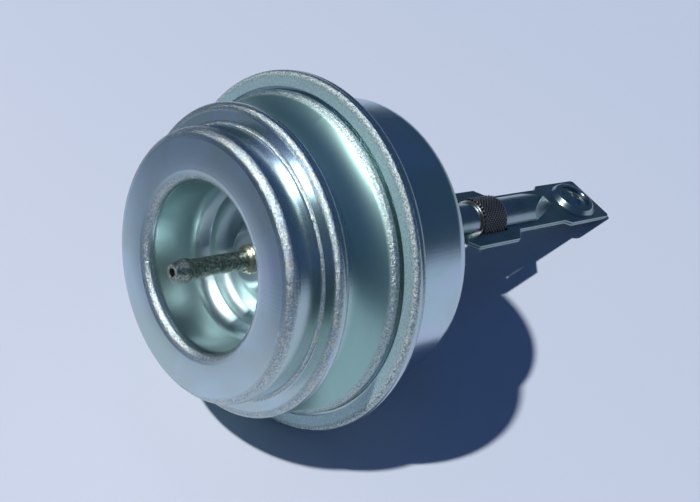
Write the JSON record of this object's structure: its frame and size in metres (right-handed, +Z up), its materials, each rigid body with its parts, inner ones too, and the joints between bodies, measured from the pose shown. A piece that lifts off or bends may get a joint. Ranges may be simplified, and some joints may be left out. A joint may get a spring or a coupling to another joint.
{
  "type": "wastegate actuator",
  "caption": "Vacuum wastegate actuator: crimped pressed-steel capsule with a hose nipple in a recess, a sprung pull rod and an adjustable pressed rod end with a swivel eye.",
  "frame": {"origin": "under the middle of the whole actuator, at the level of the surface it lies on", "axes": "+X is level, towards the rod end, in the plane of the centre line; +Z up; the centre line runs down towards the rod end by 17.9 degrees"},
  "size_m": [0.1281, 0.07, 0.067],
  "materials": {
    "cover_plate": "blue-bright zinc plating on drawn steel, smooth on the walls and grainy on the stretched corners",
    "can_plate": "blue-bright zinc plating on drawn steel, smooth on the walls and grainy on the stretched corners",
    "nipple_plate": "grainy plated steel with a green cast",
    "braze_filler": "bare brazing filler",
    "diaphragm_rubber": "moulded rubber over fabric",
    "wiper_rubber": "moulded rubber",
    "spring_wire": "drawn spring wire",
    "sintered_bronze": "oil-filled sintered bronze",
    "inner_steel": "bare pressed steel",
    "stud_plate_finish": "blue-bright zinc plating on rolled thread",
    "rod_steel": "bright plated rod",
    "link_plate": "blue-bright zinc plating on pressed sheet",
    "nut_plate": "blue-bright zinc plating on a knurled nut",
    "bush_plate": "smooth blue-bright zinc plating on a turned bush"
  },
  "bodies": {
    "capsule": {"front_cover": "cover_plate", "rear_can": "can_plate", "hose_nipple": "nipple_plate", "nipple_braze": "braze_filler", "diaphragm": "diaphragm_rubber", "return_spring": "spring_wire", "guide_housing": "can_plate", "guide_bush": "sintered_bronze", "rod_wiper": "wiper_rubber", "stud_plate": "inner_steel", "upper_stud": "stud_plate_finish", "lower_stud": "stud_plate_finish"},
    "rod": {"pull_rod": "rod_steel", "piston_cup": "inner_steel", "piston_washer": "inner_steel", "diaphragm_retainer": "inner_steel"},
    "link": {"link_upper_half": "link_plate", "link_lower_half": "link_plate"},
    "nut": {"adjuster_nut": "nut_plate"},
    "bush": {"swivel_bush": "bush_plate"}
  },
  "joints": [
    {"name": "rod_slide", "type": "slide", "parent": "capsule", "child": "rod", "axis": [-0.9515, 0, 0.3077], "range_m": [0, 0.012], "stiffness_N_per_m": 3000, "springref_m": -0.004, "deforming": ["return_spring", "diaphragm"]},
    {"name": "link_adjust", "type": "slide", "parent": "rod", "child": "link", "axis": [0.9515, 0, -0.3077], "range_m": [-0.003, 0.003]},
    {"name": "nut_turn", "type": "hinge", "parent": "link", "child": "nut", "pos_m": [0.02054, 0, 0.01523], "axis": [0.9515, 0, -0.3077], "range_deg": [-1080, 1080]},
    {"name": "bush_turn", "type": "hinge", "parent": "link", "child": "bush", "pos_m": [0.05579, 0, 0.00383], "axis": [0.3055, -0.1219, 0.9444], "continuous": true}
  ],
  "couplings": [
    {"joint": "nut_turn", "follows": "link_adjust", "rad_per_m": 6283.2}
  ]
}
